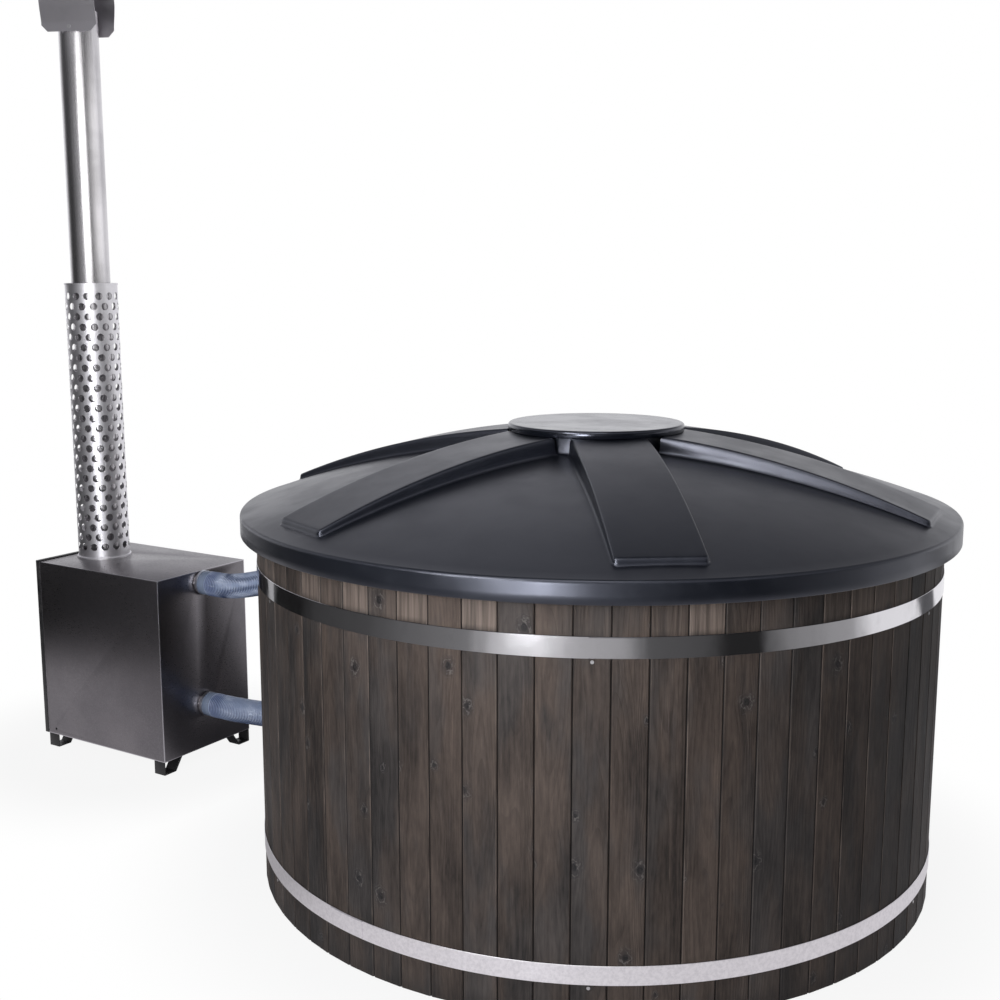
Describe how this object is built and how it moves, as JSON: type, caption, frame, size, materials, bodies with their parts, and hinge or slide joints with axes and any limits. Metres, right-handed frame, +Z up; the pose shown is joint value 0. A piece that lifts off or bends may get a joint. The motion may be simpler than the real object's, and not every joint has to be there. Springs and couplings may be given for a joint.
{
  "type": "wooden hot tub",
  "caption": "Round wooden hot tub with steel bands and a domed black lid, an outside wood-burning water heater on two ribbed hoses and a tall chimney.",
  "frame": {"origin": "on the floor, on the tub's upright axis, at the underside of the middle joist", "axes": "+Z up; -X from the tub's axis towards the heater; +Y completes the right-handed frame, towards the back in the picture"},
  "size_m": [2.978, 1.9108, 2.526],
  "materials": {
    "stained_wood": "dark stained, satin",
    "plain_wood": "untreated",
    "tub_plastic": "smooth moulded",
    "lid_plastic": "satin moulded black",
    "foam": "foam",
    "band_steel": "polished steel band",
    "casing_steel": "dark brushed",
    "stainless": "brushed stainless",
    "black_steel": "matt black paint",
    "plate_steel": "welded plate",
    "grate_iron": "rough",
    "fastener_steel": "zinc plated",
    "hose_plastic": "clear ribbed, bluish",
    "fitting_plastic": "moulded",
    "gasket_rubber": "soft",
    "valve_brass": "cast"
  },
  "bodies": {
    "tub": {"wall_staves_1": "stained_wood", "wall_staves_2": "stained_wood", "wall_staves_3": "stained_wood", "wall_staves_4": "stained_wood", "wall_staves_5": "stained_wood", "wall_staves_6": "stained_wood", "wall_staves_7": "stained_wood", "wall_staves_8": "stained_wood", "base_joists": "plain_wood", "floor_panel": "plain_wood", "liner_floor": "tub_plastic", "liner_well": "tub_plastic", "liner_bench": "tub_plastic", "liner_wall": "tub_plastic", "liner_rim": "tub_plastic", "hoop_upper": "band_steel", "hoop_lower": "band_steel", "hoop_bolts": "fastener_steel", "hoop_screws": "fastener_steel", "heater_casing": "casing_steel", "front_plate": "black_steel", "water_jacket": "plate_steel", "firebox": "plate_steel", "flue_neck": "plate_steel", "fire_grate": "grate_iron", "heater_feet": "black_steel", "hinge_pins": "fastener_steel", "pipe_stubs": "stainless", "hose_upper": "hose_plastic", "hose_lower": "hose_plastic", "hose_clamps": "band_steel", "wall_pipes": "fitting_plastic", "pipe_gaskets": "gasket_rubber", "pipe_locknuts": "fitting_plastic", "saddle_washers": "gasket_rubber", "strainer_grilles": "fitting_plastic", "flue_collar": "stainless", "flue_lower": "stainless", "flue_upper": "stainless", "heat_shield": "stainless", "shield_rings": "stainless", "shield_spacers": "stainless", "rain_cap": "stainless", "cap_rivets": "fastener_steel", "drain_outlet": "fitting_plastic", "drain_pipe": "fitting_plastic", "drain_valve": "valve_brass"},
    "lid": {"lid_shell": "lid_plastic", "lid_skirt": "lid_plastic", "lid_cap": "lid_plastic", "lid_core": "foam", "lid_panel": "lid_plastic"},
    "firebox_door": {"firebox_door": "black_steel", "door_handle": "fastener_steel", "door_baffle": "plate_steel"},
    "air_shutter": {"air_shutter": "fastener_steel"},
    "ash_drawer": {"ash_drawer": "plate_steel", "drawer_handle": "fastener_steel"},
    "drain_lever": {"valve_ball": "fastener_steel", "valve_lever": "black_steel"}
  },
  "joints": [
    {"name": "lid_lift", "type": "slide", "parent": "tub", "child": "lid", "axis": [0, 0, 1], "range_m": [0, 0.45]},
    {"name": "firebox_door_hinge", "type": "hinge", "parent": "tub", "child": "firebox_door", "pos_m": [-1.991, 0.099, 0.367], "axis": [0, 0, -1], "range_deg": [0, 110]},
    {"name": "air_shutter_slide", "type": "slide", "parent": "firebox_door", "child": "air_shutter", "axis": [0, 1, 0], "range_m": [0, 0.013]},
    {"name": "ash_drawer_slide", "type": "slide", "parent": "tub", "child": "ash_drawer", "axis": [-1, 0, 0], "range_m": [0, 0.4]},
    {"name": "drain_lever_hinge", "type": "hinge", "parent": "tub", "child": "drain_lever", "pos_m": [0.23464, 0.91787, 0.034], "axis": [0, 0, 1], "range_deg": [0, 90]}
  ]
}
